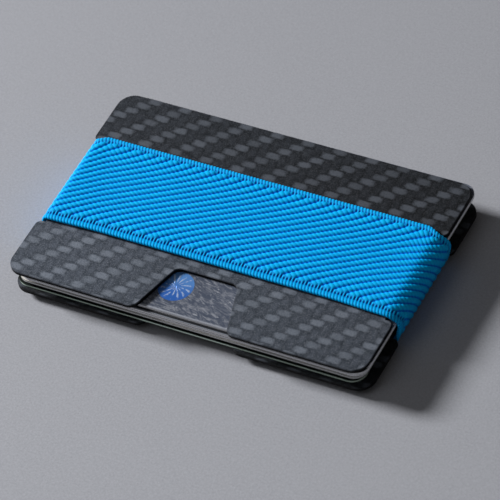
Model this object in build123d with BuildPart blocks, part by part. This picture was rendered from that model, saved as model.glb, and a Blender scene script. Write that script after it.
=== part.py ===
from build123d import *
import math
import os

# Slim card wallet: two identical stiff plates, a stack of cards between them, and one wide elastic band that
# passes round the short ends of the plates. All sizes are in millimetres. +Z is up. The origin is at the plan
# centre of the front plate, on the surface that the wallet rests on.

# Plates
PLATE_LENGTH = 88.0
PLATE_WIDTH = 55.0
PLATE_THICKNESS = 1.0
PLATE_CORNER_RADIUS = 3.8
PLATE_EDGE_CHAMFER = 0.15

# The back plate sits a little off line in its band, towards +X
BACK_PLATE_SHIFT = 0.4

# Notch in each short end of a plate, where the band passes
BAND_NOTCH_WIDTH = 24.9
BAND_NOTCH_DEPTH = 2.0
BAND_NOTCH_FLOOR_RADIUS = 0.3
BAND_NOTCH_MOUTH_RADIUS = 1.4

# Tapered thumb notch in the middle of the plates' front long edge
THUMB_NOTCH_DEPTH = 13.0
THUMB_NOTCH_MOUTH_WIDTH = 22.8
THUMB_NOTCH_FLOOR_WIDTH = 15.0
THUMB_NOTCH_FLOOR_RADIUS = 2.0
THUMB_NOTCH_MOUTH_RADIUS = 2.2

# Cards, the standard bank-card size
CARD_LENGTH = 85.6
CARD_WIDTH = 53.98
CARD_THICKNESS = 0.76
CARD_CORNER_RADIUS = 3.18
CARD_EDGE_CHAMFER = 0.06
CARD_COUNT = 6

# The stack leans: each card sits this much further towards -X than the card above it
CARD_SKEW = 0.35

# How far each card's front edge is set back from the plates' front edge
CARD_1_SETBACK = 1.8
CARD_2_SETBACK = 1.0
CARD_3_SETBACK = 1.1
CARD_4_SETBACK = 0.95
CARD_5_SETBACK = 1.35
CARD_6_SETBACK = 1.0

# Elastic band
BAND_WIDTH = 24.5
BAND_THICKNESS = 1.2

# Sewn pad where the band's ends are lapped, under the wallet
PAD_LENGTH = 14.0
PAD_STEP = 0.35
PAD_END_CHAMFER = 0.2

# Seam: two zigzag rows of thread, sunk in channels in the pad
SEAM_ROW_SPACING = 8.0
SEAM_CHANNEL_WIDTH = 2.4
SEAM_CHANNEL_LENGTH = 22.6
SEAM_CHANNEL_DEPTH = 0.4
THREAD_THICKNESS = 0.35
THREAD_WIDTH = 0.7
THREAD_SWING = 2.2
STITCH_STEP = 0.9
STITCH_COUNT = 24

# Contact module on a bank card, placed from the card's left and back edges
CHIP_LENGTH = 13.0
CHIP_WIDTH = 11.8
CHIP_CORNER_RADIUS = 1.6
CHIP_DEPTH = 0.2
CHIP_FROM_LEFT = 15.1
CHIP_FROM_BACK = 23.9

# Round foil seal in the face of the top card
SEAL_DIAMETER = 8.0
SEAL_DEPTH = 0.15
SEAL_X = -5.75
SEAL_Y = -18.6

# Clearances between neighbours
CARD_GAP = 0.02
BAND_TO_PLATE_GAP = 0.03
BAND_TO_CARD_GAP = 0.05
INLAY_GAP = 0.02

# Heights, from the rest surface upwards
band_bottom = PAD_STEP
band_inner_bottom = band_bottom + BAND_THICKNESS
back_plate_bottom = band_inner_bottom + BAND_TO_PLATE_GAP
cards_bottom = back_plate_bottom + PLATE_THICKNESS + CARD_GAP
card_pitch = CARD_THICKNESS + CARD_GAP
cards_top = cards_bottom + CARD_COUNT * card_pitch - CARD_GAP
front_plate_bottom = cards_top + CARD_GAP
band_inner_top = front_plate_bottom + PLATE_THICKNESS + BAND_TO_PLATE_GAP

# Plan positions: the top card's right end is flush with the front plate's right end
notch_floor_x = PLATE_LENGTH / 2 - BAND_NOTCH_DEPTH
notch_middle_x = PLATE_LENGTH / 2 - BAND_NOTCH_DEPTH / 2
top_card_right_x = PLATE_LENGTH / 2
bottom_card_left_x = top_card_right_x - (CARD_COUNT - 1) * CARD_SKEW - CARD_LENGTH

os.makedirs("parts", exist_ok=True)


def card_bottom(number):
    """Z of a card's underside. Cards are numbered from the top of the stack down."""
    return cards_bottom + (CARD_COUNT - number) * card_pitch


def card_centre(number, setback):
    """Plan centre of a card whose front edge is set back this far from the plates' front edge."""
    right_x = top_card_right_x - (number - 1) * CARD_SKEW
    front_y = -PLATE_WIDTH / 2 + setback
    return (right_x - CARD_LENGTH / 2, front_y + CARD_WIDTH / 2)


def chip_centre(number, setback):
    """Plan centre of a card's contact module."""
    card_x, card_y = card_centre(number, setback)
    return (card_x - CARD_LENGTH / 2 + CHIP_FROM_LEFT, card_y + CARD_WIDTH / 2 - CHIP_FROM_BACK)


def zigzag_ribbon(row_x):
    """Outline of one zigzag stitch row that runs along Y at this X."""
    first_y = -STITCH_STEP * STITCH_COUNT / 2
    half_swing = (THREAD_SWING - THREAD_WIDTH) / 2
    swings = [(row_x + half_swing * (-1) ** i, first_y + STITCH_STEP * i) for i in range(STITCH_COUNT + 1)]
    left_side = [(x - THREAD_WIDTH / 2, y) for x, y in swings]
    right_side = [(x + THREAD_WIDTH / 2, y) for x, y in swings]
    return left_side + right_side[::-1]


# Outline shared by both plates
with BuildSketch() as plate_outline:
    RectangleRounded(PLATE_LENGTH, PLATE_WIDTH, PLATE_CORNER_RADIUS)
    with Locations((PLATE_LENGTH / 2, 0), (-PLATE_LENGTH / 2, 0)):
        Rectangle(2 * BAND_NOTCH_DEPTH, BAND_NOTCH_WIDTH, mode=Mode.SUBTRACT)
    thumb_taper = (THUMB_NOTCH_MOUTH_WIDTH - THUMB_NOTCH_FLOOR_WIDTH) / 2
    thumb_side_angle = math.degrees(math.atan2(THUMB_NOTCH_DEPTH, thumb_taper))
    with Locations((0, (THUMB_NOTCH_DEPTH - PLATE_WIDTH) / 2)):
        Trapezoid(THUMB_NOTCH_MOUTH_WIDTH, THUMB_NOTCH_DEPTH, thumb_side_angle, mode=Mode.SUBTRACT)
    thumb_corners = plate_outline.vertices().filter_by(lambda v: abs(v.X) < THUMB_NOTCH_MOUTH_WIDTH)
    fillet(thumb_corners.group_by(Axis.Y)[0], THUMB_NOTCH_MOUTH_RADIUS)
    thumb_corners = plate_outline.vertices().filter_by(lambda v: abs(v.X) < THUMB_NOTCH_MOUTH_WIDTH)
    fillet(thumb_corners.group_by(Axis.Y)[-1], THUMB_NOTCH_FLOOR_RADIUS)
    notch_corners = plate_outline.vertices().filter_by(lambda v: abs(v.X) > THUMB_NOTCH_MOUTH_WIDTH)
    notch_corners = notch_corners.filter_by(lambda v: abs(v.Y) < (BAND_NOTCH_WIDTH + BAND_NOTCH_DEPTH) / 2)
    fillet(notch_corners.filter_by(lambda v: abs(v.X) > notch_middle_x), BAND_NOTCH_MOUTH_RADIUS)
    fillet(notch_corners.filter_by(lambda v: abs(v.X) < notch_middle_x), BAND_NOTCH_FLOOR_RADIUS)

with BuildPart() as front_plate:
    with BuildSketch(Plane.XY.offset(front_plate_bottom)):
        add(plate_outline.sketch)
    extrude(amount=PLATE_THICKNESS)
    chamfer(front_plate.faces().filter_by(Axis.Z).edges(), PLATE_EDGE_CHAMFER)
front_plate.part.label = "front_plate"
export_step(front_plate.part, "parts/front_plate.step")

with BuildPart() as back_plate:
    with BuildSketch(Plane.XY.offset(back_plate_bottom)):
        with Locations((BACK_PLATE_SHIFT, 0)):
            add(plate_outline.sketch)
    extrude(amount=PLATE_THICKNESS)
    chamfer(back_plate.faces().filter_by(Axis.Z).edges(), PLATE_EDGE_CHAMFER)
back_plate.part.label = "back_plate"
export_step(back_plate.part, "parts/back_plate.step")

# Inside of the band's loop, seen along Y. It is drawn tight round the plates' notch floors, the top card's
# right end and the bottom card's left end, so its right side slopes inwards going down and its left side
# slopes outwards.
with BuildSketch(Plane.XZ) as loop_opening:
    with BuildLine():
        Polyline(
            (BACK_PLATE_SHIFT - notch_floor_x - BAND_TO_PLATE_GAP, band_inner_bottom),
            (BACK_PLATE_SHIFT + notch_floor_x + BAND_TO_PLATE_GAP, band_inner_bottom),
            (BACK_PLATE_SHIFT + notch_floor_x + BAND_TO_PLATE_GAP, cards_bottom),
            (top_card_right_x + BAND_TO_CARD_GAP, card_bottom(1)),
            (top_card_right_x + BAND_TO_CARD_GAP, cards_top + CARD_GAP),
            (notch_floor_x + BAND_TO_PLATE_GAP, band_inner_top),
            (-notch_floor_x - BAND_TO_PLATE_GAP, band_inner_top),
            (-notch_floor_x - BAND_TO_PLATE_GAP, front_plate_bottom),
            (bottom_card_left_x - BAND_TO_CARD_GAP, card_bottom(CARD_COUNT) + CARD_THICKNESS),
            (bottom_card_left_x - BAND_TO_CARD_GAP, cards_bottom - CARD_GAP),
            close=True,
        )
    make_face()

with BuildPart() as elastic_band:
    with BuildSketch(Plane.XZ) as loop_profile:
        add(loop_opening.sketch_local)
        offset(amount=BAND_THICKNESS, kind=Kind.ARC)
        add(loop_opening.sketch_local, mode=Mode.SUBTRACT)
    extrude(amount=BAND_WIDTH / 2, both=True)
    with BuildSketch(Plane.XY):
        Rectangle(PAD_LENGTH, BAND_WIDTH)
    extrude(amount=PAD_STEP)
    pad_ends = elastic_band.faces().sort_by(Axis.Z)[0].edges().filter_by(Axis.Y)
    chamfer(pad_ends, PAD_END_CHAMFER)
    with BuildSketch(Plane.XY):
        with GridLocations(SEAM_ROW_SPACING, 0, 2, 1):
            Rectangle(SEAM_CHANNEL_WIDTH, SEAM_CHANNEL_LENGTH)
    extrude(amount=SEAM_CHANNEL_DEPTH, mode=Mode.SUBTRACT)
elastic_band.part.label = "elastic_band"
export_step(elastic_band.part, "parts/elastic_band.step")

# Zigzag stitches, one flat folded ribbon of thread in each channel
with BuildPart() as seam_thread:
    with BuildSketch(Plane.XY.offset((SEAM_CHANNEL_DEPTH - THREAD_THICKNESS) / 2)):
        for row_x in (-SEAM_ROW_SPACING / 2, SEAM_ROW_SPACING / 2):
            with BuildLine():
                Polyline(*zigzag_ribbon(row_x), close=True)
            make_face()
    extrude(amount=THREAD_THICKNESS)
seam_thread.part.label = "seam_thread"
export_step(seam_thread.part, "parts/seam_thread.step")

# Top card, with a shallow round pocket for its foil seal
with BuildPart() as card_1:
    with BuildSketch(Plane.XY.offset(card_bottom(1))):
        with Locations(card_centre(1, CARD_1_SETBACK)):
            RectangleRounded(CARD_LENGTH, CARD_WIDTH, CARD_CORNER_RADIUS)
    extrude(amount=CARD_THICKNESS)
    chamfer(card_1.faces().filter_by(Axis.Z).edges(), CARD_EDGE_CHAMFER)
    with BuildSketch(Plane.XY.offset(card_bottom(1) + CARD_THICKNESS)):
        with Locations((SEAL_X, SEAL_Y)):
            Circle(SEAL_DIAMETER / 2 + INLAY_GAP)
    extrude(amount=-SEAL_DEPTH - INLAY_GAP, mode=Mode.SUBTRACT)
card_1.part.label = "card_1"
export_step(card_1.part, "parts/card_1.step")

with BuildPart() as card_1_seal:
    with BuildSketch(Plane.XY.offset(card_bottom(1) + CARD_THICKNESS)):
        with Locations((SEAL_X, SEAL_Y)):
            Circle(SEAL_DIAMETER / 2)
    extrude(amount=-SEAL_DEPTH)
card_1_seal.part.label = "card_1_seal"
export_step(card_1_seal.part, "parts/card_1_seal.step")

# Card 2, a bank card with a pocket for its contact module
with BuildPart() as card_2:
    with BuildSketch(Plane.XY.offset(card_bottom(2))):
        with Locations(card_centre(2, CARD_2_SETBACK)):
            RectangleRounded(CARD_LENGTH, CARD_WIDTH, CARD_CORNER_RADIUS)
    extrude(amount=CARD_THICKNESS)
    chamfer(card_2.faces().filter_by(Axis.Z).edges(), CARD_EDGE_CHAMFER)
    with BuildSketch(Plane.XY.offset(card_bottom(2) + CARD_THICKNESS)):
        with Locations(chip_centre(2, CARD_2_SETBACK)):
            RectangleRounded(CHIP_LENGTH + 2 * INLAY_GAP, CHIP_WIDTH + 2 * INLAY_GAP, CHIP_CORNER_RADIUS)
    extrude(amount=-CHIP_DEPTH - INLAY_GAP, mode=Mode.SUBTRACT)
card_2.part.label = "card_2"
export_step(card_2.part, "parts/card_2.step")

with BuildPart() as card_2_chip:
    with BuildSketch(Plane.XY.offset(card_bottom(2) + CARD_THICKNESS)):
        with Locations(chip_centre(2, CARD_2_SETBACK)):
            RectangleRounded(CHIP_LENGTH, CHIP_WIDTH, CHIP_CORNER_RADIUS)
    extrude(amount=-CHIP_DEPTH)
card_2_chip.part.label = "card_2_chip"
export_step(card_2_chip.part, "parts/card_2_chip.step")

# Card 3, a bank card with a pocket for its contact module
with BuildPart() as card_3:
    with BuildSketch(Plane.XY.offset(card_bottom(3))):
        with Locations(card_centre(3, CARD_3_SETBACK)):
            RectangleRounded(CARD_LENGTH, CARD_WIDTH, CARD_CORNER_RADIUS)
    extrude(amount=CARD_THICKNESS)
    chamfer(card_3.faces().filter_by(Axis.Z).edges(), CARD_EDGE_CHAMFER)
    with BuildSketch(Plane.XY.offset(card_bottom(3) + CARD_THICKNESS)):
        with Locations(chip_centre(3, CARD_3_SETBACK)):
            RectangleRounded(CHIP_LENGTH + 2 * INLAY_GAP, CHIP_WIDTH + 2 * INLAY_GAP, CHIP_CORNER_RADIUS)
    extrude(amount=-CHIP_DEPTH - INLAY_GAP, mode=Mode.SUBTRACT)
card_3.part.label = "card_3"
export_step(card_3.part, "parts/card_3.step")

with BuildPart() as card_3_chip:
    with BuildSketch(Plane.XY.offset(card_bottom(3) + CARD_THICKNESS)):
        with Locations(chip_centre(3, CARD_3_SETBACK)):
            RectangleRounded(CHIP_LENGTH, CHIP_WIDTH, CHIP_CORNER_RADIUS)
    extrude(amount=-CHIP_DEPTH)
card_3_chip.part.label = "card_3_chip"
export_step(card_3_chip.part, "parts/card_3_chip.step")

# Card 4, a bank card with a pocket for its contact module
with BuildPart() as card_4:
    with BuildSketch(Plane.XY.offset(card_bottom(4))):
        with Locations(card_centre(4, CARD_4_SETBACK)):
            RectangleRounded(CARD_LENGTH, CARD_WIDTH, CARD_CORNER_RADIUS)
    extrude(amount=CARD_THICKNESS)
    chamfer(card_4.faces().filter_by(Axis.Z).edges(), CARD_EDGE_CHAMFER)
    with BuildSketch(Plane.XY.offset(card_bottom(4) + CARD_THICKNESS)):
        with Locations(chip_centre(4, CARD_4_SETBACK)):
            RectangleRounded(CHIP_LENGTH + 2 * INLAY_GAP, CHIP_WIDTH + 2 * INLAY_GAP, CHIP_CORNER_RADIUS)
    extrude(amount=-CHIP_DEPTH - INLAY_GAP, mode=Mode.SUBTRACT)
card_4.part.label = "card_4"
export_step(card_4.part, "parts/card_4.step")

with BuildPart() as card_4_chip:
    with BuildSketch(Plane.XY.offset(card_bottom(4) + CARD_THICKNESS)):
        with Locations(chip_centre(4, CARD_4_SETBACK)):
            RectangleRounded(CHIP_LENGTH, CHIP_WIDTH, CHIP_CORNER_RADIUS)
    extrude(amount=-CHIP_DEPTH)
card_4_chip.part.label = "card_4_chip"
export_step(card_4_chip.part, "parts/card_4_chip.step")

# Card 5, a plain card
with BuildPart() as card_5:
    with BuildSketch(Plane.XY.offset(card_bottom(5))):
        with Locations(card_centre(5, CARD_5_SETBACK)):
            RectangleRounded(CARD_LENGTH, CARD_WIDTH, CARD_CORNER_RADIUS)
    extrude(amount=CARD_THICKNESS)
    chamfer(card_5.faces().filter_by(Axis.Z).edges(), CARD_EDGE_CHAMFER)
card_5.part.label = "card_5"
export_step(card_5.part, "parts/card_5.step")

# Card 6, a plain card
with BuildPart() as card_6:
    with BuildSketch(Plane.XY.offset(card_bottom(6))):
        with Locations(card_centre(6, CARD_6_SETBACK)):
            RectangleRounded(CARD_LENGTH, CARD_WIDTH, CARD_CORNER_RADIUS)
    extrude(amount=CARD_THICKNESS)
    chamfer(card_6.faces().filter_by(Axis.Z).edges(), CARD_EDGE_CHAMFER)
card_6.part.label = "card_6"
export_step(card_6.part, "parts/card_6.step")
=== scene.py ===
import math

import bpy
import numpy as np
from mathutils import Matrix, Vector


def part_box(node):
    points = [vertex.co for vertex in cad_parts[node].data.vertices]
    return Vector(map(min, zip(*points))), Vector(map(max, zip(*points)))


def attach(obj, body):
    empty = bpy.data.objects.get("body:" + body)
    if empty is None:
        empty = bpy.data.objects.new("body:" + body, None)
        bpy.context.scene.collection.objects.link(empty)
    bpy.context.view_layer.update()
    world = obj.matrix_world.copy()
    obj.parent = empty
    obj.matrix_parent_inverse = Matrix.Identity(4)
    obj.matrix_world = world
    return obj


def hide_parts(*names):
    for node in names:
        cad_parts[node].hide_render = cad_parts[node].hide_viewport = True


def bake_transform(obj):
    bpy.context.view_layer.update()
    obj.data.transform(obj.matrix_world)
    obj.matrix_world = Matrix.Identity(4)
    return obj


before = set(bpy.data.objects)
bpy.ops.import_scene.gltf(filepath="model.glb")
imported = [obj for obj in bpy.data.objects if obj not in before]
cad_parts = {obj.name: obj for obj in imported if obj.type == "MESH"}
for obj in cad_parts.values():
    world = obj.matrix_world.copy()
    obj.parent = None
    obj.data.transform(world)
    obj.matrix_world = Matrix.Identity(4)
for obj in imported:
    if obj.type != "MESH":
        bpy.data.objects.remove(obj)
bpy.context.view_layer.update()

MM = 0.001

# Camera, as angles about the wallet and offsets from the middle of the front plate's face
CAMERA_AZIMUTH = 39.44
CAMERA_ELEVATION = 47.41
CAMERA_ROLL = 15.26
CAMERA_DISTANCE = 861.2 * MM
CAMERA_LENS = 288.0
CAMERA_SENSOR = 36.0
CAMERA_FSTOP = 50.0
CAMERA_RIGHT = 2.35 * MM
CAMERA_DOWN = 4.78 * MM
CAMERA_NEAR = 0.01
CAMERA_FAR = 20.0

# Studio: the floor, the room's even light, and disc lights as name, place, diameter, power and colour
FLOOR_HALF = 3.0
FLOOR_LEVEL = -0.05 * MM
ROOM_COLOUR = (218, 213, 208)
ROOM_STRENGTH = 0.115
LIGHTS = (
    ("key", (-1.41, 0.02, 0.76), 0.36, 40.6, (1.0, 0.985, 0.965)),
    ("fill", (-0.25, -0.45, 0.85), 0.6, 0.6, (0.95, 0.98, 1.0)),
)

# Carbon weave, in the material's own millimetres
TOW = 1.955
WEAVE_X = 24.18 + TOW
WEAVE_Y = 16.18 + TOW / 2
PLATE_REACH = 44.0
# where the carbon's painted sheen fades toward the back
SHEEN_BACK_STARTS = -16.0
SHEEN_BACK_ENDS = 14.0

# Cards: the colours that the printed face runs between, the colours of the painted shade along the cut edge's
# top and bottom and of its core, how far the core reaches up and down from the middle as a share of the
# thickness, and what else marks the face, a painted highlight along its front among them
CARD_LOOKS = {
    "card_1": dict(name="card_silver", face=((40, 46, 60), (84, 93, 112)),
                   edge=((24, 25, 28), (246, 248, 255)), core_reach=0.45, streak=0.5, gloss=0.36, highlight_lip=0.55),
    # card_2's face is drawn near black, partly as print and partly as painted shade for the dark line below
    # card_1's edge
    "card_2": dict(name="card_white_a", face=((14, 16, 20), (34, 37, 44)),
                   edge=((10, 10, 11), (246, 247, 252)), core_reach=0.37, highlight_lip=0.3),
    "card_3": dict(name="card_white_b", face=((120, 138, 170), (196, 206, 222)),
                   edge=((12, 12, 13), (240, 241, 246)), core_reach=0.37),
    "card_4": dict(name="card_white_c", face=((206, 204, 198), (230, 229, 226)),
                   edge=((3, 3, 3), (214, 216, 218)), core_reach=0.30),
    "card_5": dict(name="card_dark", face=((22, 28, 26), (44, 54, 50)),
                   edge=((0, 0, 0), (2, 3, 2)), core_reach=0.40),
    # card_6's face is drawn near black, partly as print and partly as painted shade for the dark line above
    # its edge
    "card_6": dict(name="card_pale_green", face=((10, 18, 14), (24, 38, 31)),
                   edge=((1, 2, 1), (216, 236, 224)), core_reach=0.32),
}
CARDS_WITH_CHIPS = (2, 3, 4)

# Elastic band: the loop
BAND_THICKNESS = 1.2 * MM
BAND_INSIDE = 0.04 * MM
BAND_HALF_WIDTH = 12.62 * MM
NOTCH_DEPTH = 2.0 * MM
PLATE_GAP = 0.03 * MM
CARD_GAP = 0.05 * MM
BEND_SOFTNESS = 0.80 * MM
PATH_STEP = 0.1 * MM
EDGE_CURL = 0.28 * MM
EDGE_TURNS = 7
CURL_WIDTH = 0.8 * MM

# Elastic band: how far off line it lies on the front plate, and the shares of the plate's half length between
# which that fades out. The fading starts sooner at one side of the band than at the other, by the spread.
BAND_SHIFT = 0.82 * MM
SHIFT_FADE_FROM = 0.76
SHIFT_FADE_SPREAD = 0.14
SHIFT_GONE_BY = 0.98

# Elastic band: its slanting ribs, each a row of beads
RIB_PITCH = 3.1 * MM
RIB_START = 0.37 * MM
RIB_SLOPE = 1.66
RIB_SLOPE_LOSS = 0.15
RIB_SLOPE_LOSS_POWER = 3
RIB_HALF_SPAN = 10.6 * MM
RIB_FULLNESS = 0.95
RIB_WAIST = 0.87
RIB_HEIGHT = 0.40 * MM
RIB_END_FRONT = 2.05 * MM
RIB_END_BACK = 1.40 * MM
RIB_TIP = 0.9 * MM
RIB_SIDE_POWER = 2.6
RIB_TIP_POWER = 2.0
RIB_ROUNDNESS = 0.55
CREST_RISE = 0.04 * MM
BEAD_TURN = 2.1
BEAD_DEPTH = 0.09 * MM
BEAD_LEVEL = 0.6
BEAD_VARIATION = 0.4
BEAD_LOSS_AT_SIDES = 0.7
SIDE_STARTS = 0.75
SIDE_ENDS = 0.95
YARN_HASH = (78.233, 37.719, 43758.5453)

# Elastic band: the strip of short cross ribs along each edge, and the teeth that run from it
STRIP_CREST = 0.80 * MM
STRIP_REACH_FRONT = 1.78 * MM
STRIP_REACH_BACK = 1.45 * MM
STRIP_DROP = 0.05 * MM
STRIP_DEPTH = 0.11 * MM
STRIP_LEVEL = 0.7
TOOTH_HEIGHT = 0.26 * MM
TOOTH_ROUNDNESS = 0.7
TOOTH_LEAN_ON_STRIP = 0.35
TOOTH_LEAN_PAST_STRIP = 0.10
TOOTH_START = 0.6
TOOTH_FADE_FROM = 0.4 * MM
TOOTH_FADE_TO = 0.9 * MM
HEIGHT_CAP = 1.2

# Elastic band: what counts as its outer and inner face, by how far outward the surface looks
OUTER_FACE_FROM = 0.1
OUTER_FACE_TO = 0.9
INNER_FACE_TO = -0.5

# Elastic band: mesh steps along the loop and across it
FLOAT_PITCH = RIB_PITCH / 4
COLUMN_STEP = FLOAT_PITCH / 4
ROW_STEP = 0.21 * MM
FINE_HALF_LENGTH = 52.5 * MM

# Sewn lap in the middle of the run under the wallet, and its two rows of stitches
PAD_HALF_LENGTH = 7.0 * MM
PAD_EDGE = 0.25 * MM
PAD_STEP = 0.35 * MM
PAD_FLATTENING = 0.55
SEAM_X = 4.0 * MM
SEAM_SINK = 0.22 * MM
SEAM_GROOVE_FROM = 0.5 * MM
SEAM_GROOVE_TO = 1.3 * MM
SEAM_HALF_LENGTH = 10.4 * MM
STITCH_STEP = 0.9 * MM
STITCH_SWING = 0.75 * MM
STITCH_POINTS = 8
STITCH_DIVE = 0.16 * MM
STITCH_DIVE_POWER = 6
THREAD_RADIUS = 0.17 * MM
THREAD_FLOAT = 0.04 * MM
THREAD_SIDES = 8


def srgb(red, green, blue):
    """Linear colour of an 8-bit display colour."""
    channels = [c / 255 for c in (red, green, blue)]
    return [c / 12.92 if c <= 0.04045 else ((c + 0.055) / 1.055) ** 2.4 for c in channels] + [1.0]


def smoothstep(low, high, value):
    t = np.clip((value - low) / (high - low), 0, 1)
    return t * t * (3 - 2 * t)


# ---------------------------------------------------------------- materials

class Graph:
    """A material's node graph, with short calls for the nodes that the materials share."""

    def __init__(self, name):
        self.material = bpy.data.materials.new(name)
        self.material.use_nodes = True
        self.tree = self.material.node_tree
        self.surface = self.tree.nodes["Principled BSDF"]

    def node(self, kind, settings=None, **inputs):
        made = self.tree.nodes.new(kind)
        for key, value in (settings or {}).items():
            setattr(made, key, value)
        for key, value in inputs.items():
            self.feed(made.inputs[key.replace("_", " ")], value)
        return made

    def feed(self, socket, value):
        if isinstance(value, bpy.types.NodeSocket):
            self.tree.links.new(value, socket)
        else:
            socket.default_value = value

    def math(self, operation, first, second=0.0):
        made = self.tree.nodes.new("ShaderNodeMath")
        made.operation = operation
        for socket, value in zip(made.inputs, (first, second)):
            self.feed(socket, value)
        return made.outputs[0]

    def add(self, first, second):
        return self.math("ADD", first, second)

    def sub(self, first, second):
        return self.math("SUBTRACT", first, second)

    def mul(self, first, second):
        return self.math("MULTIPLY", first, second)

    def absolute(self, value):
        return self.math("ABSOLUTE", value)

    def larger(self, first, second):
        return self.math("MAXIMUM", first, second)

    def invert(self, value):
        return self.sub(1.0, value)

    def step(self, value, low, high):
        """0 at low, 1 at high, smooth between. Low may be the larger of the two."""
        made = self.tree.nodes.new("ShaderNodeMapRange")
        made.interpolation_type = "SMOOTHSTEP"
        for socket, number in zip(made.inputs[:5], (value, low, high, 0.0, 1.0)):
            self.feed(socket, number)
        return made.outputs[0]

    def scale(self, value, low, high, to_low, to_high):
        """to_low at low, to_high at high, straight between and held outside."""
        made = self.tree.nodes.new("ShaderNodeMapRange")
        for socket, number in zip(made.inputs[:5], (value, low, high, to_low, to_high)):
            self.feed(socket, number)
        return made.outputs[0]

    def mix(self, factor, first, second):
        """Colour first where factor is 0, second where it is 1."""
        made = self.tree.nodes.new("ShaderNodeMix")
        made.data_type = "RGBA"
        self.feed(made.inputs["Factor"], factor)
        self.feed(made.inputs[6], first)
        self.feed(made.inputs[7], second)
        return made.outputs[2]

    def split(self, vector):
        return self.node("ShaderNodeSeparateXYZ", Vector=vector).outputs

    def join(self, x, y, z=0.0):
        return self.node("ShaderNodeCombineXYZ", X=x, Y=y, Z=z).outputs[0]

    def place(self):
        """The point on the piece, in millimetres of the wallet's own frame."""
        coordinates = self.node("ShaderNodeTexCoord").outputs["Object"]
        made = self.node("ShaderNodeVectorMath", {"operation": "SCALE"}, Vector=coordinates)
        made.inputs["Scale"].default_value = 1 / MM
        return made.outputs[0]

    def noise(self, vector, size, detail=2.0, roughness=0.5, distortion=0.0):
        made = self.node("ShaderNodeTexNoise", Vector=vector)
        made.inputs["Scale"].default_value = 1 / size
        made.inputs["Detail"].default_value = detail
        made.inputs["Roughness"].default_value = roughness
        made.inputs["Distortion"].default_value = distortion
        return made.outputs["Fac"]

    def white(self, vector):
        return self.node("ShaderNodeTexWhiteNoise", Vector=vector).outputs["Value"]

    def attribute(self, name):
        return self.node("ShaderNodeAttribute", {"attribute_name": name}).outputs["Fac"]

    def bump(self, height, depth, strength=1.0, normal=None):
        """Normal of a relief that is depth metres deep where height goes from 0 to 1."""
        made = self.node("ShaderNodeBump", Height=height)
        made.inputs["Distance"].default_value = depth
        made.inputs["Strength"].default_value = strength
        if normal is not None:
            self.feed(made.inputs["Normal"], normal)
        return made.outputs[0]

    def facing(self):
        """X, Y and Z of the direction that the surface faces."""
        return self.split(self.node("ShaderNodeNewGeometry").outputs["True Normal"])

    def facing_up(self):
        """1 on flat faces that look up or down, 0 on cut edges."""
        return self.step(self.absolute(self.facing()[2]), 0.45, 0.9)

    def finish(self, **inputs):
        for key, value in inputs.items():
            self.feed(self.surface.inputs[key.replace("_", " ")], value)
        return self.material


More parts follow.
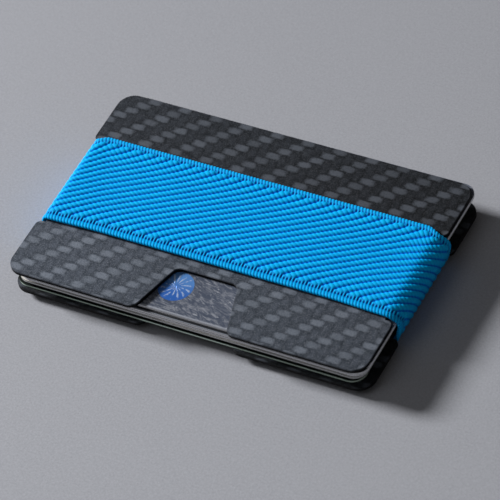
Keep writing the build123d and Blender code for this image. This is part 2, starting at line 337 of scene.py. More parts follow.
def carbon_fibre(name, sheen_gain):
    """Matte 2 x 2 twill: tows over two and under two, with the tows along X painted lighter and a painted
    sheen over everything, both of them painted reflection.
    """
    g = Graph(name)
    place = g.place()
    x, y, z = g.split(place)

    # each point's place counted in tows, which wander a little
    wander_x = 0.50
    wander_y = -0.36
    wander = g.sub(g.noise(place, size=4.0, detail=2.0), 0.5)
    across_x = g.add(g.mul(g.add(x, WEAVE_X), 1 / TOW), g.mul(wander, wander_x))
    across_y = g.add(g.mul(g.add(y, WEAVE_Y), 1 / TOW), g.mul(wander, wander_y))
    column = g.math("FLOOR", across_x)
    row = g.math("FLOOR", across_y)
    in_column = g.math("FRACT", across_x)
    in_row = g.math("FRACT", across_y)

    # the pattern repeats every four tows, and each row starts it one column further on
    turn = g.math("FLOORED_MODULO", g.sub(column, row), 4.0)
    warp_on_top = g.math("LESS_THAN", turn, 1.5)
    weft_on_top = g.invert(warp_on_top)
    along_warp = g.mul(g.add(turn, in_column), 0.5)
    along_weft = g.mul(g.add(g.sub(3.0, turn), in_row), 0.5)

    def crown(value, power):
        """1 in the middle of a tow's float and 0 at its ends."""
        centred = g.absolute(g.sub(g.mul(value, 2.0), 1.0))
        return g.invert(g.math("POWER", centred, power))

    length_power = 2.2
    width_power = 2.8
    warp = g.mul(g.mul(crown(along_warp, length_power), crown(in_row, width_power)), warp_on_top)
    weft = g.mul(g.mul(crown(along_weft, length_power), crown(in_column, width_power)), weft_on_top)

    # fibres run along each tow
    along_tow = 0.45
    across_tow = 9.0
    along_warp_fibre = g.join(g.mul(x, along_tow), g.mul(y, across_tow))
    along_weft_fibre = g.join(g.mul(x, across_tow), g.mul(y, along_tow))
    warp_fibre = g.noise(along_warp_fibre, size=1.0, detail=3.0, roughness=0.65)
    weft_fibre = g.noise(along_weft_fibre, size=1.0, detail=3.0, roughness=0.65)
    fibre = g.add(g.mul(warp_fibre, warp_on_top), g.mul(weft_fibre, weft_on_top))
    tow_tint = g.white(g.join(g.math("FLOOR", g.mul(g.sub(column, row), 0.25)), row, 3.0))
    ragged = g.mul(g.sub(g.noise(place, size=0.75, detail=3.0, roughness=0.65), 0.5), 0.95)
    speckle = g.noise(place, size=0.27, detail=2.0, roughness=0.8)
    mottle = g.noise(place, size=1.6, detail=3.0, roughness=0.6)

    # the painted sheen, a painted reflection, is strongest at the front and fades toward the back right
    # corner
    front_sheen = g.scale(x, -PLATE_REACH, PLATE_REACH, 1.05, 0.70)
    back_sheen = g.scale(x, -PLATE_REACH, PLATE_REACH, 0.26, 0.0)
    toward_back = g.step(y, SHEEN_BACK_STARTS, SHEEN_BACK_ENDS)
    painted_sheen = g.mul(g.scale(toward_back, 0.0, 1.0, front_sheen, back_sheen), sheen_gain)

    # each pair of colours is without the painted sheen and with it
    light = g.mix(painted_sheen, srgb(77, 82, 91), srgb(114, 122, 135))
    dark = g.mix(painted_sheen, srgb(14, 16, 19), srgb(53, 60, 70))
    dull = g.mix(painted_sheen, srgb(32, 35, 40), srgb(77, 84, 96))
    glint = g.mix(painted_sheen, srgb(76, 79, 86), srgb(138, 144, 156))
    # the tows that float along X are drawn in the lighter colour: a painted reflection off their fibres
    lit = g.mul(g.step(g.add(warp, ragged), -0.05, 0.95), g.scale(tow_tint, 0.0, 1.0, 0.70, 1.15))
    lit = g.mul(lit, g.scale(fibre, 0.3, 0.7, 0.85, 1.05))
    dark = g.mix(g.scale(g.add(mottle, g.mul(weft, 0.25)), 0.45, 0.85, 0.0, 1.0), dark, dull)
    face = g.mix(lit, dark, light)
    face = g.mix(g.scale(speckle, 0.48, 0.75, 0.0, 0.55), face, glint)
    face = g.mix(g.scale(speckle, 0.48, 0.28, 0.0, 0.45), face, dark)

    # the cut edge shows the laminate's layers
    between_plies = srgb(5, 5, 6)
    ply = srgb(17, 17, 19)
    ply_waves = 32.0
    layers = g.math("SINE", g.mul(z, ply_waves))
    edge = g.mix(g.scale(g.add(layers, fibre), 0.0, 2.0, 0.0, 1.0), between_plies, ply)
    relief = g.add(g.mul(g.add(warp, weft), 0.6), g.mul(fibre, 0.4))
    normal = g.bump(relief, depth=0.04 * MM, strength=0.7)
    normal = g.bump(speckle, depth=0.02 * MM, strength=0.9, normal=normal)
    return g.finish(Base_Color=g.mix(g.facing_up(), edge, face), Normal=normal, Specular_IOR_Level=0.10,
                    Roughness=g.scale(g.add(fibre, speckle), 0.6, 1.4, 0.50, 0.70))


def elastic_weave():
    """Blue elastic, drawn with painted shade down between the yarn floats and in their creases, and painted
    highlights on rib crests and teeth.
    """
    g = Graph("elastic")
    hollow_shade = srgb(0, 104, 230)
    back = srgb(0, 183, 255)
    crest_shine = srgb(6, 206, 255)
    filament_shine = srgb(8, 200, 255)
    cloud_shade = srgb(0, 145, 232)
    bead_crease_shade = srgb(0, 100, 220)
    strip_crease_shade = srgb(0, 78, 186)
    tooth_shine = srgb(20, 205, 255)
    tooth_gap_shade = srgb(0, 62, 156)

    place = g.place()
    x, y, z = g.split(place)
    height = g.attribute("height")
    on_rib = g.step(g.attribute("on_rib"), 0.15, 0.6)
    on_teeth = g.attribute("on_teeth")

    def furrow(count, low, high):
        """1 in the crease between one yarn and the next, 0 on their backs."""
        side = g.absolute(g.sub(g.mul(g.math("FRACT", count), 2.0), 1.0))
        return g.step(side, low, high)

    edge_count = g.add(g.attribute("edge_rib"), 0.5)
    bead_furrow = g.mul(furrow(g.attribute("bead"), 0.60, 1.0), on_rib)
    strip_furrow = g.mul(furrow(edge_count, 0.40, 0.95), g.attribute("on_strip"))
    tooth_furrow = g.mul(furrow(edge_count, 0.25, 0.60), on_teeth)
    tooth_highlight = g.mul(g.invert(tooth_furrow), g.mul(on_teeth, 0.5))
    crest = g.mul(g.invert(bead_furrow), g.mul(on_rib, g.attribute("chance")))
    bright_crest = g.mul(g.step(crest, 0.45, 1.0), g.mul(g.step(height, 0.80, 1.05), 0.5))
    along_yarn = g.mul(g.sub(y, x), 0.12)
    across_yarn = g.add(x, g.mul(y, 0.9))
    in_yarn = g.join(across_yarn, along_yarn, g.mul(z, 0.5))
    filament = g.noise(in_yarn, size=0.12, detail=3.0, roughness=0.7)
    cloud = g.noise(place, size=6.0, detail=2.0)

    # painted shade: darker down between the ribs, lighter up on them
    body = g.mix(g.step(height, 0.10, 0.85), hollow_shade, back)
    # painted highlights on the rib crests
    body = g.mix(bright_crest, body, crest_shine)
    body = g.mix(g.mul(g.scale(filament, 0.35, 0.7, 0.0, 1.0), 0.15), body, filament_shine)
    body = g.mix(g.mul(g.add(cloud, -0.35), 0.3), body, cloud_shade)
    # painted shade in the creases between beads, strip ribs and teeth
    body = g.mix(g.mul(bead_furrow, 0.32), body, bead_crease_shade)
    body = g.mix(g.mul(strip_furrow, 0.55), body, strip_crease_shade)
    # painted highlight on the backs of the teeth
    body = g.mix(tooth_highlight, body, tooth_shine)
    body = g.mix(tooth_furrow, body, tooth_gap_shade)
    creases = g.larger(g.larger(bead_furrow, strip_furrow), tooth_furrow)
    normal = g.bump(filament, depth=0.03 * MM, strength=0.6)
    normal = g.bump(g.invert(creases), depth=0.05 * MM, strength=0.6, normal=normal)
    return g.finish(Base_Color=body, Roughness=g.scale(filament, 0.2, 0.8, 0.5, 0.75), Normal=normal,
                    Specular_IOR_Level=0.06)


def thread_ply():
    """Bonded polyester thread, a fine twist of plies."""
    g = Graph("thread")
    ply_shade = srgb(0, 96, 178)
    ply_back = srgb(26, 150, 214)
    loose_fibre = srgb(120, 200, 240)

    place = g.place()
    x, y, z = g.split(place)
    twist_waves = 26.0
    twist = g.math("SINE", g.mul(g.add(g.add(x, y), z), twist_waves))
    fuzz = g.noise(place, size=0.08, detail=3.0, roughness=0.7)
    colour = g.mix(g.scale(twist, -1.0, 1.0, 0.0, 1.0), ply_shade, ply_back)
    colour = g.mix(g.mul(fuzz, 0.3), colour, loose_fibre)
    normal = g.bump(g.add(twist, fuzz), depth=0.03 * MM, strength=0.8)
    return g.finish(Base_Color=colour, Roughness=0.6, Normal=normal, Sheen_Weight=0.2)


def card_plastic(node, name, face, edge, core_reach, streak=0.0, gloss=0.35, highlight_lip=0.0):
    """Laminated card: a printed face with fine scratches and perhaps streaks and a painted highlight along
    its front, and a cut edge with a core between bands of painted shade along its top and bottom."""
    g = Graph(name)
    streak_colour = srgb(176, 180, 190)
    ring_colour = srgb(190, 194, 204)
    scratch_colour = srgb(200, 202, 206)
    lip_highlight_colour = srgb(160, 166, 178)

    place = g.place()
    low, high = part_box(node)
    x, y, z = g.split(place)
    from_left = g.sub(x, low.x / MM)
    from_front = g.sub(y, low.y / MM)
    from_bottom = g.sub(z, low.z / MM)
    thickness = (high.z - low.z) / MM

    # the print runs from one colour to the other in a slow wave
    sweep = g.add(g.mul(from_left, 0.02), g.mul(from_front, -0.011))
    wave = g.math("SINE", g.add(g.mul(from_front, 0.21), g.mul(g.math("SINE", g.mul(from_left, 0.07)), 2.2)))
    print_tone = g.scale(g.add(sweep, g.mul(wave, 0.2)), -0.6, 1.8, 0.0, 1.0)
    printed = g.mix(print_tone, srgb(*face[0]), srgb(*face[1]))

    # streaks, broken oval rings and scratches
    ring_centre_x = 1.5
    ring_centre_y = -17.0
    ring_flattening = 2.2
    rings_per_mm = 0.23
    slanted = g.mul(g.add(y, g.mul(x, 0.30)), 1.1)
    streaks = g.noise(g.join(g.mul(x, 0.30), slanted), size=0.8, detail=4.0, roughness=0.7, distortion=1.4)
    scratch = g.noise(g.join(g.mul(x, 0.05), g.mul(y, 6.0), 2.0), size=1.0, detail=2.0, roughness=0.5)
    curve_x = g.sub(x, ring_centre_x)
    curve_y = g.sub(y, ring_centre_y)
    curve = g.math("SQRT", g.add(g.mul(curve_x, curve_x), g.mul(curve_y, g.mul(curve_y, ring_flattening))))
    from_ring = g.absolute(g.sub(g.math("FRACT", g.mul(curve, rings_per_mm)), 0.5))
    rings = g.invert(g.step(from_ring, 0.02, 0.06))
    rings = g.mul(rings, g.step(streaks, 0.48, 0.60))
    printed = g.mix(g.mul(g.step(streaks, 0.42, 0.7), streak), printed, streak_colour)
    printed = g.mix(g.mul(rings, streak), printed, ring_colour)
    printed = g.mix(g.mul(g.step(scratch, 0.62, 0.72), 0.25), printed, scratch_colour)
    # a pale strip along the front of the face: a painted highlight on its front rim
    printed = g.mix(g.mul(g.step(from_front, highlight_lip, highlight_lip * 0.4), 0.8), printed, lip_highlight_colour)

    # the edge's core between bands of painted shade along its top and bottom, for the gaps between cards, and
    # its left end in the same painted shade
    gap_shade_starts = thickness * (core_reach - 0.06)
    gap_shade_full = thickness * (core_reach + 0.02)
    left_end_shade = 0.85
    edge_shade_and_mottle_colour = srgb(*edge[0])
    core_colour = srgb(*edge[1])
    from_middle = g.absolute(g.sub(from_bottom, thickness / 2))
    gap_shade = g.step(from_middle, gap_shade_starts, gap_shade_full)
    facing_left = g.step(g.facing()[0], -0.2, -0.8)
    cut = g.mix(gap_shade, core_colour, edge_shade_and_mottle_colour)
    cut = g.mix(g.mul(g.noise(place, size=0.18, detail=2.0, roughness=0.6), 0.25), cut, edge_shade_and_mottle_colour)
    cut = g.mix(g.mul(facing_left, left_end_shade), cut, edge_shade_and_mottle_colour)

    up = g.facing_up()
    normal = g.bump(g.add(g.mul(streaks, streak), g.mul(scratch, 0.4)), depth=0.02 * MM, strength=0.5)
    return g.finish(Base_Color=g.mix(up, cut, printed), Roughness=g.add(g.mul(scratch, 0.2), gloss),
                    Normal=normal, Specular_IOR_Level=g.scale(up, 0.0, 1.0, 0.04, 0.2))


def chip_contacts(node):
    """Gold-plated contact module, its pads parted by fine grooves."""
    g = Graph(node)
    gold_shade = srgb(196, 158, 88)
    gold_shine = srgb(226, 194, 124)
    groove_colour = srgb(62, 52, 36)

    place = g.place()
    low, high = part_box(node)
    x, y = g.split(place)[:2]
    half_length = (high.x - low.x) / 2 / MM
    half_width = (high.y - low.y) / 2 / MM
    from_x = g.absolute(g.sub(x, (low.x + high.x) / 2 / MM))
    from_y = g.sub(y, (low.y + high.y) / 2 / MM)
    groove_half_width = 0.09
    groove_fades_by = groove_half_width * 1.8
    centre_reach = half_length * 0.40
    outer_pads_from = half_length * 0.42
    outer_row = half_width * 0.45
    inner_row = half_width * 0.62

    def line(value, at):
        """1 on a groove that runs where value equals at."""
        return g.invert(g.step(g.absolute(g.sub(value, at)), groove_half_width, groove_fades_by))

    outside = g.step(from_x, centre_reach, outer_pads_from)
    rows = g.larger(line(from_y, outer_row), line(from_y, -outer_row))
    rows = g.mul(g.larger(rows, line(from_y, 0.0)), outside)
    frame_line = line(from_x, centre_reach)
    inner = g.mul(line(g.absolute(from_y), inner_row), g.invert(outside))
    groove = g.larger(g.larger(rows, frame_line), inner)
    brush = g.noise(g.join(g.mul(x, 0.4), g.mul(y, 12.0)), size=1.0, detail=2.0)
    colour = g.mix(brush, gold_shade, gold_shine)
    colour = g.mix(groove, colour, groove_colour)
    normal = g.bump(g.sub(g.mul(brush, 0.1), groove), depth=0.05 * MM, strength=0.8)
    return g.finish(Base_Color=colour, Metallic=g.invert(g.mul(groove, 0.8)),
                    Roughness=g.add(g.mul(brush, 0.15), 0.24), Normal=normal)


def foil_seal():
    """Embossed blue foil disc with fine strokes that fan out from its middle."""
    g = Graph("foil")
    front_blue = srgb(50, 114, 208)
    back_blue = srgb(104, 164, 236)
    cloud_blue = srgb(70, 110, 200)
    stroke_colour = srgb(206, 226, 255)

    place = g.place()
    low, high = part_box("card_1_seal")
    x, y = g.split(place)[:2]
    from_x = g.sub(x, (low.x + high.x) / 2 / MM)
    from_y = g.sub(y, (low.y + high.y) / 2 / MM)
    radius = g.math("SQRT", g.add(g.mul(from_x, from_x), g.mul(from_y, from_y)))
    angle = g.math("ARCTAN2", from_y, from_x)
    stroke_count = 14.0
    stroke_twist = 0.9
    strokes_fade_from = 3.3
    strokes_end = 3.8
    spokes = g.math("SINE", g.add(g.mul(angle, stroke_count), g.mul(radius, stroke_twist)))
    broken = g.noise(g.join(g.mul(from_x, 0.8), g.mul(from_y, 0.8), 5.0), size=1.0, detail=3.0, roughness=0.6)
    stroke = g.mul(g.step(spokes, 0.20, 0.85), g.step(broken, 0.42, 0.56))
    stroke = g.mul(stroke, g.invert(g.step(radius, strokes_fade_from, strokes_end)))
    blue = g.mix(g.step(from_y, -3.0, 3.0), front_blue, back_blue)
    blue = g.mix(g.mul(g.noise(place, size=1.3, detail=2.0), 0.5), blue, cloud_blue)
    colour = g.mix(g.mul(stroke, 0.8), blue, stroke_colour)
    normal = g.bump(stroke, depth=0.03 * MM, strength=0.7)
    return g.finish(Base_Color=colour, Metallic=0.35, Roughness=0.34, Normal=normal)


def pale_floor():
    """Plain pale grey, finely grained, with painted shade that makes it a little darker toward the back."""
    g = Graph("floor")
    grain_shade = srgb(150, 153, 162)
    grain_shine = srgb(177, 180, 189)
    cloud_colour = srgb(172, 174, 182)
    far_shade_colour = srgb(138, 140, 148)

    place = g.place()
    y = g.split(place)[1]
    grain = g.noise(place, size=0.45, detail=3.0, roughness=0.8)
    cloud = g.noise(place, size=40.0, detail=2.0)
    colour = g.mix(g.scale(grain, 0.30, 0.70, 0.0, 1.0), grain_shade, grain_shine)
    colour = g.mix(g.mul(cloud, 0.3), colour, cloud_colour)
    far_starts = -60.0
    far_ends = 90.0
    # painted shade: darker toward the back
    colour = g.mix(g.scale(y, far_starts, far_ends, 0.0, 0.35), colour, far_shade_colour)
    return g.finish(Base_Color=colour, Roughness=0.85, Normal=g.bump(grain, depth=0.05 * MM, strength=0.5))


# ---------------------------------------------------------------- elastic band

def loop_pivots():
    """Corners that the taut band goes round, in X and Z, clockwise seen from the front."""
    front_low, front_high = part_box("front_plate")
    back_low, back_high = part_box("back_plate")
    top_low, top_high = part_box("card_1")
    bottom_low, bottom_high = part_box("card_6")
    top = front_high.z + PLATE_GAP
    bottom = back_low.z - PLATE_GAP
    inset = NOTCH_DEPTH - PLATE_GAP
    return [
        (front_high.x - inset, top),
        (top_high.x + CARD_GAP, top_high.z),
        (top_high.x + CARD_GAP, top_low.z),
        (back_high.x - inset, bottom),
        (back_low.x + inset, bottom),
        (bottom_low.x - CARD_GAP, bottom_low.z),
        (bottom_low.x - CARD_GAP, bottom_high.z),
        (front_low.x + inset, top),
    ]


def loop_outline(pivots):
    """The loop's path in fine steps: distance along the band's outer face from the middle of the top run,
    the points of its inner face, the outward directions, and the distance all the way round."""
    stations, points, normals = [], [], []
    travelled = 0.0
    count = len(pivots)
    for i, here in enumerate(pivots):
        before, after = pivots[i - 1], pivots[(i + 1) % count]
        along_in = np.subtract(here, before) / math.dist(here, before)
        along_out = np.subtract(after, here) / math.dist(after, here)
        start = math.atan2(along_in[0], -along_in[1])
        turn = math.acos(max(-1.0, min(1.0, float(along_in @ along_out))))
        bend_length = BAND_THICKNESS * turn
        steps = math.ceil(bend_length / PATH_STEP)
        for share in np.arange(steps) / steps:
            angle = start - turn * share
            stations.append(travelled + bend_length * share)
            points.append(here)
            normals.append((math.cos(angle), math.sin(angle)))
        travelled += bend_length
        run_length = math.dist(here, after)
        steps = math.ceil(run_length / PATH_STEP)
        for share in np.arange(steps) / steps:
            stations.append(travelled + run_length * share)
            points.append(np.array(here) * (1 - share) + np.array(after) * share)
            normals.append((-along_out[1], along_out[0]))
        travelled += run_length
    top_run = math.dist(pivots[-1], pivots[0])
    stations = (np.array(stations) + top_run / 2) % travelled
    order = np.argsort(stations)
    return stations[order], np.array(points)[order], np.array(normals)[order], travelled


def rounded(values, stations, total):
    """Values round the closed loop, each averaged with its neighbours about BEND_SOFTNESS away."""
    apart = np.abs(stations[:, None] - stations[None, :])
    apart = np.minimum(apart, total - apart)
    spacing = (np.roll(stations, -1) - np.roll(stations, 1)) % total
    share = np.exp(-0.5 * (apart / BEND_SOFTNESS) ** 2) * spacing[None, :]
    return share @ values / share.sum(axis=1)[:, None]


def around(where, stations, values, total):
    """Values at any distances round the loop."""
    known = np.concatenate([stations, [total]])
    columns = [np.interp(where % total, known, np.append(column, column[0])) for column in values.T]
    return np.stack(columns, -1)


def band_section():
    """The band's cross-section as a closed ring: place across the width, height from the inner face,
    outward direction, and surface distance in from the side's middle."""
    edge = (BAND_THICKNESS - BAND_INSIDE - EDGE_CURL) / 2
    flat = BAND_HALF_WIDTH - edge
    quarter = math.pi * edge / 2
    middle = BAND_THICKNESS - edge
    rows = round(2 * flat / ROW_STEP)
    ring = []
    for k in range(rows + 1):
        across = -flat + 2 * flat * k / rows
        ring.append((across, BAND_THICKNESS, 0.0, 1.0, quarter + flat - abs(across)))
    for k in range(1, EDGE_TURNS + 1):
        angle = math.pi / 2 - math.pi * k / EDGE_TURNS
        ring.append((flat + edge * math.cos(angle), middle + edge * math.sin(angle),
                     math.cos(angle), math.sin(angle), edge * angle))
    for across in (flat - CURL_WIDTH, 0.0, CURL_WIDTH - flat):
        ring.append((across, BAND_INSIDE, 0.0, -1.0, -quarter))
    for k in range(EDGE_TURNS, 0, -1):
        angle = math.pi / 2 - math.pi * k / EDGE_TURNS
        ring.append((-flat - edge * math.cos(angle), middle + edge * math.sin(angle),
                     -math.cos(angle), math.sin(angle), edge * angle))
    return np.array(ring)


def weave_relief(along, across, from_side, beading):
    """How far the weave stands out from the band's smooth face in metres, less than 0 down between its ribs,
    and the values that shade it: its height, the counts of beads and of edge ribs, where each of the three
    weaves lies, and a value from 0 to 1 that differs from bead to bead."""
    front = across < 0
    lean = RIB_SLOPE * across
    lean -= RIB_SLOPE_LOSS * across * np.abs(across / RIB_HALF_SPAN) ** RIB_SLOPE_LOSS_POWER
    phase = (along - RIB_START - lean) / RIB_PITCH
    rib = np.floor(phase)
    from_crown = phase - rib - 0.5
    bead = along / FLOAT_PITCH - BEAD_TURN * from_crown
    bead_crest = 0.5 - 0.5 * np.cos(2 * np.pi * bead)

    # scattered values, always the same one for the same bead
    by_bead, by_rib, spread = YARN_HASH
    chance = np.abs(np.sin(np.floor(bead) * by_bead + rib * by_rib) * spread) % 1.0

    # ribs, narrower between their beads and rounded off at their ends
    offset = np.abs(2 * from_crown) / (RIB_FULLNESS * (RIB_WAIST + (1 - RIB_WAIST) * bead_crest))
    rib_end = np.where(front, RIB_END_FRONT, RIB_END_BACK)
    tip = 1 - np.clip((from_side - rib_end) / RIB_TIP, 0, 1)
    ridge = np.clip(1 - offset ** RIB_SIDE_POWER - tip ** RIB_TIP_POWER, 0, 1) ** RIB_ROUNDNESS
    variation = 1 + BEAD_VARIATION * (chance - 0.5)
    rib_level = RIB_HEIGHT * ridge + BEAD_DEPTH * beading * ridge * (bead_crest - BEAD_LEVEL) * variation

    # edge strip and teeth
    on_strip_side = from_side < STRIP_REACH_FRONT
    tooth_lean = np.where(on_strip_side, TOOTH_LEAN_ON_STRIP, TOOTH_LEAN_PAST_STRIP)
    edge_rib = (along - np.sign(across) * tooth_lean * (from_side - STRIP_REACH_FRONT)) / FLOAT_PITCH
    tooth = 0.5 + 0.5 * np.cos(2 * np.pi * edge_rib)
    strip_reach = np.where(front, STRIP_REACH_FRONT, STRIP_REACH_BACK)
    past_crest = np.clip((from_side - STRIP_CREST) / (strip_reach - STRIP_CREST), 0, 1)
    strip = np.sqrt(np.clip(1 - past_crest ** 2, 0, 1))
    strip_level = (RIB_HEIGHT - STRIP_DROP) * strip + STRIP_DEPTH * (tooth - STRIP_LEVEL) * strip
    tooth_zone = smoothstep(TOOTH_START, 1.0, past_crest)
    tooth_zone = tooth_zone * (1 - smoothstep(rib_end + TOOTH_FADE_FROM, rib_end + TOOTH_FADE_TO, from_side))
    tooth_level = TOOTH_HEIGHT * tooth ** TOOTH_ROUNDNESS * tooth_zone

    raised = np.maximum(np.maximum(rib_level, strip_level), tooth_level)
    on_rib = (rib_level >= np.maximum(strip_level, tooth_level)) * ridge
    values = {"height": np.clip(raised / RIB_HEIGHT, 0, HEIGHT_CAP), "bead": bead, "edge_rib": edge_rib,
              "on_rib": on_rib, "on_strip": (1 - on_rib) * strip, "on_teeth": (1 - on_rib) * tooth_zone,
              "chance": chance}
    return raised - RIB_HEIGHT + CREST_RISE, values


def band_columns(total):
    """Distances round the loop of the mesh's columns, fine on top and at the sides and coarse underneath."""
    fine_count = round(FINE_HALF_LENGTH / COLUMN_STEP)
    fine = np.arange(-fine_count, fine_count + 1) * COLUMN_STEP
    left_over = total - (fine[-1] - fine[0])
    coarse_count = round(left_over / COLUMN_STEP / 2)
    coarse = fine[-1] + left_over * np.arange(1, coarse_count) / coarse_count
    return (np.concatenate([fine, coarse]) + total / 2) % total - total / 2


def band_mesh():
    """The whole woven loop as one closed mesh."""
    stations, inner, outward, total = loop_outline(loop_pivots())
    soft_out = rounded(inner + BAND_THICKNESS * outward, stations, total)
    soft_way = rounded(outward, stations, total)
    soft_way /= np.linalg.norm(soft_way, axis=1)[:, None]
    across, rise, side_way, up_way, from_side = (column[None, :] for column in band_section().T)
    along = band_columns(total)[:, None] + np.zeros_like(across)
    path_in = around(along, stations, inner, total)
    way_in = around(along, stations, outward, total)
    path_out = around(along, stations, soft_out, total)
    way_out = around(along, stations, soft_way, total)

    beading = 1 - BEAD_LOSS_AT_SIDES * smoothstep(SIDE_STARTS, SIDE_ENDS, np.abs(way_out[..., 0]))
    level, values = weave_relief(along, across, from_side, beading)

    # lapped and sewn pad in the middle of the bottom run
    from_seam = total / 2 - np.abs(along)
    on_pad = 1 - smoothstep(PAD_HALF_LENGTH - PAD_EDGE, PAD_HALF_LENGTH, from_seam)
    from_row = np.abs(from_seam - SEAM_X)
    pulled_in = on_pad * (1 - smoothstep(SEAM_GROOVE_FROM, SEAM_GROOVE_TO, from_row))
    outer_face = smoothstep(OUTER_FACE_FROM, OUTER_FACE_TO, up_way)
    level = level * (1 - PAD_FLATTENING * on_pad) * (up_way > INNER_FACE_TO)
    pad_rise = (PAD_STEP * on_pad - SEAM_SINK * pulled_in) * outer_face

    # the loop lies a little off line on the front plate, and its notches squeeze it back
    cad_low, cad_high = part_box("elastic_band")
    plate_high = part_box("front_plate")[1]
    notch_centre = (cad_low.y + cad_high.y) / 2
    half_notch = (cad_high.y - cad_low.y) / 2
    reach = np.abs(path_in[..., 0]) / plate_high.x
    leaving = SHIFT_FADE_FROM + SHIFT_FADE_SPREAD * across / BAND_HALF_WIDTH
    on_top = (path_in[..., 1] > plate_high.z) * (1 - smoothstep(leaving, SHIFT_GONE_BY, reach))
    centre = notch_centre + BAND_SHIFT * on_top
    squeeze = (half_notch + (BAND_HALF_WIDTH - half_notch) * on_top) / BAND_HALF_WIDTH
    y = centre + across * squeeze + side_way * level

    # the inner face keeps the taut path and the outer face takes the rounded one
    out = rise + up_way * level + pad_rise
    skin = smoothstep(0.0, 1.0, rise / BAND_THICKNESS)[..., None]
    xz = ((1 - skin) * (path_in + out[..., None] * way_in)
          + skin * (path_out + (out[..., None] - BAND_THICKNESS) * way_out))
    return closed_tube("elastic_band_weave", np.stack([xz[..., 0], y, xz[..., 1]], -1), values)


def smooth_object(name, mesh):
    """An object that shows the mesh, shaded smooth."""
    mesh.polygons.foreach_set("use_smooth", [True] * len(mesh.polygons))
    made = bpy.data.objects.new(name, mesh)
    bpy.context.scene.collection.objects.link(made)
    return made


def closed_tube(name, points, values):
    """Mesh of a ring of rings, with its shading values at each point."""
    columns, rows = points.shape[:2]
    here = np.arange(columns * rows).reshape(columns, rows)
    ahead = np.roll(here, -1, axis=0)
    quads = np.stack([here, ahead, np.roll(ahead, -1, axis=1), np.roll(here, -1, axis=1)], -1)
    mesh = bpy.data.meshes.new(name)
    mesh.from_pydata(points.reshape(-1, 3).tolist(), [], quads.reshape(-1, 4).tolist())
    for key, value in values.items():
        layer = mesh.attributes.new(key, "FLOAT", "POINT")
        layer.data.foreach_set("value", np.broadcast_to(value, (columns, rows)).astype(np.float32).ravel())
    mesh.update()
    return smooth_object(name, mesh)


# ---------------------------------------------------------------- sewing thread

def thread_tube(path):
    """Points and faces of round thread swept along a path of points, closed at both ends."""
    path = np.array(path, float)
    ahead = np.gradient(path, axis=0)
    ahead /= np.linalg.norm(ahead, axis=1)[:, None]
    side = np.cross(ahead, (0.0, 0.0, 1.0))
    side /= np.linalg.norm(side, axis=1)[:, None]
    lift = np.cross(side, ahead)
    angles = 2 * np.pi * np.arange(THREAD_SIDES) / THREAD_SIDES
    ring = side[:, None, :] * np.cos(angles)[None, :, None] + lift[:, None, :] * np.sin(angles)[None, :, None]
    points = (path[:, None, :] + ring * THREAD_RADIUS).reshape(-1, 3)
    faces = []
    for i in range(len(path) - 1):
        for j in range(THREAD_SIDES):
            a = i * THREAD_SIDES + j
            b = i * THREAD_SIDES + (j + 1) % THREAD_SIDES
            faces.append((a, b, b + THREAD_SIDES, a + THREAD_SIDES))
    faces.append(tuple(range(THREAD_SIDES))[::-1])
    faces.append(tuple((len(path) - 1) * THREAD_SIDES + j for j in range(THREAD_SIDES)))
    return points, faces


def seam_stitches():
    """Two zigzag rows of lockstitch across the pad, each stitch lying on the weave and diving at its ends."""
    points, faces = [], []
    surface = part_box("seam_thread")[0].z + THREAD_RADIUS + THREAD_FLOAT
    stitches = round(2 * SEAM_HALF_LENGTH / STITCH_STEP)
    for row in (-SEAM_X, SEAM_X):
        path = []
        for k in range(stitches):
            start = -SEAM_HALF_LENGTH + k * STITCH_STEP
            way = 1 if k % 2 == 0 else -1
            for t in np.arange(STITCH_POINTS) / STITCH_POINTS:
                dive = (2 * t - 1) ** STITCH_DIVE_POWER
                path.append((row + way * STITCH_SWING * (2 * t - 1), start + STITCH_STEP * t,
                             surface + STITCH_DIVE * dive))
        row_points, row_faces = thread_tube(path)
        faces += [tuple(i + len(points) for i in face) for face in row_faces]
        points += row_points.tolist()
    mesh = bpy.data.meshes.new("seam_stitches")
    mesh.from_pydata(points, [], faces)
    return smooth_object("seam_stitches", mesh)


# ---------------------------------------------------------------- put it together

def paint(node, material):
    """Gives a CAD node its material in every slot that its mesh has."""
    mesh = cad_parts[node].data
    if not mesh.materials:
        mesh.materials.append(material)
    for index in range(len(mesh.materials)):
        mesh.materials[index] = material


# the front plate gets the painted sheen and the back plate none, so the back plate is drawn darker as painted
# shade
paint("front_plate", carbon_fibre("carbon_fibre_front", 1.0))
paint("back_plate", carbon_fibre("carbon_fibre_back", 0.0))
for card, looks in CARD_LOOKS.items():
    paint(card, card_plastic(card, **looks))
for number in CARDS_WITH_CHIPS:
    chip = f"card_{number}_chip"
    paint(chip, chip_contacts(chip))
paint("card_1_seal", foil_seal())

band = band_mesh()
band.data.materials.append(elastic_weave())
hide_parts("elastic_band")
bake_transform(band)

stitches = seam_stitches()
stitches.data.materials.append(thread_ply())
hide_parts("seam_thread")
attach(stitches, "base")


# ---------------------------------------------------------------- stage, light and camera

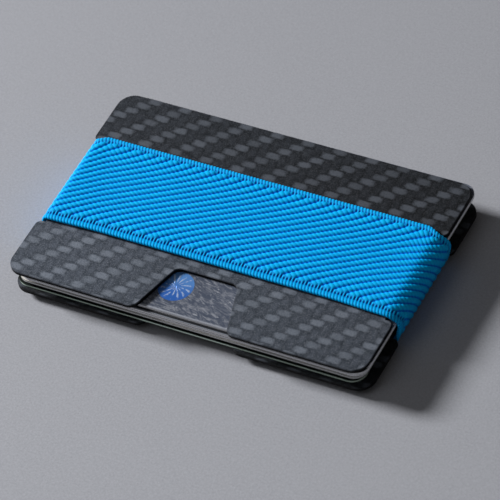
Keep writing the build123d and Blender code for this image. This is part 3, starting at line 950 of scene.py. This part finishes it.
def add_floor():
    half = FLOOR_HALF
    corners = [(-half, -half, FLOOR_LEVEL), (half, -half, FLOOR_LEVEL),
               (half, half, FLOOR_LEVEL), (-half, half, FLOOR_LEVEL)]
    mesh = bpy.data.meshes.new("floor")
    mesh.from_pydata(corners, [], [(0, 1, 2, 3)])
    mesh.materials.append(pale_floor())
    made = bpy.data.objects.new("floor", mesh)
    bpy.context.scene.collection.objects.link(made)


def add_light(name, position, size, power, colour):
    """A disc light that looks at the wallet."""
    light = bpy.data.lights.new(name, "AREA")
    light.shape = "DISK"
    light.size = size
    light.energy = power
    light.color = colour
    made = bpy.data.objects.new(name, light)
    made.location = position
    made.rotation_mode = "QUATERNION"
    made.rotation_quaternion = (-Vector(position)).to_track_quat("-Z", "Y")
    bpy.context.scene.collection.objects.link(made)


def add_world():
    world = bpy.data.worlds.new("studio")
    world.use_nodes = True
    background = world.node_tree.nodes["Background"]
    background.inputs["Color"].default_value = srgb(*ROOM_COLOUR)
    background.inputs["Strength"].default_value = ROOM_STRENGTH
    bpy.context.scene.world = world


def add_camera():
    low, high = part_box("front_plate")
    target = Vector(((low.x + high.x) / 2, (low.y + high.y) / 2, high.z))
    azimuth, elevation, roll = (math.radians(a) for a in (CAMERA_AZIMUTH, CAMERA_ELEVATION, CAMERA_ROLL))
    forward = Vector((-math.sin(azimuth) * math.cos(elevation), math.cos(azimuth) * math.cos(elevation),
                      -math.sin(elevation)))
    level_right = forward.cross(Vector((0, 0, 1))).normalized()
    level_down = forward.cross(level_right)
    right = level_right * math.cos(roll) + level_down * math.sin(roll)
    down = level_down * math.cos(roll) - level_right * math.sin(roll)
    data = bpy.data.cameras.new("camera")
    data.lens = CAMERA_LENS
    data.sensor_width = CAMERA_SENSOR
    data.dof.use_dof = True
    data.dof.focus_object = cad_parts["front_plate"]
    data.dof.aperture_fstop = CAMERA_FSTOP
    data.clip_start = CAMERA_NEAR
    data.clip_end = CAMERA_FAR
    made = bpy.data.objects.new("camera", data)
    axes = Matrix((right, -down, -forward)).transposed().to_4x4()
    place = target + right * CAMERA_RIGHT + down * CAMERA_DOWN - forward * CAMERA_DISTANCE
    made.matrix_world = Matrix.Translation(place) @ axes
    bpy.context.scene.collection.objects.link(made)
    bpy.context.scene.camera = made


add_floor()
add_world()
for light_settings in LIGHTS:
    add_light(*light_settings)
add_camera()
bpy.context.scene.view_settings.view_transform = "Standard"
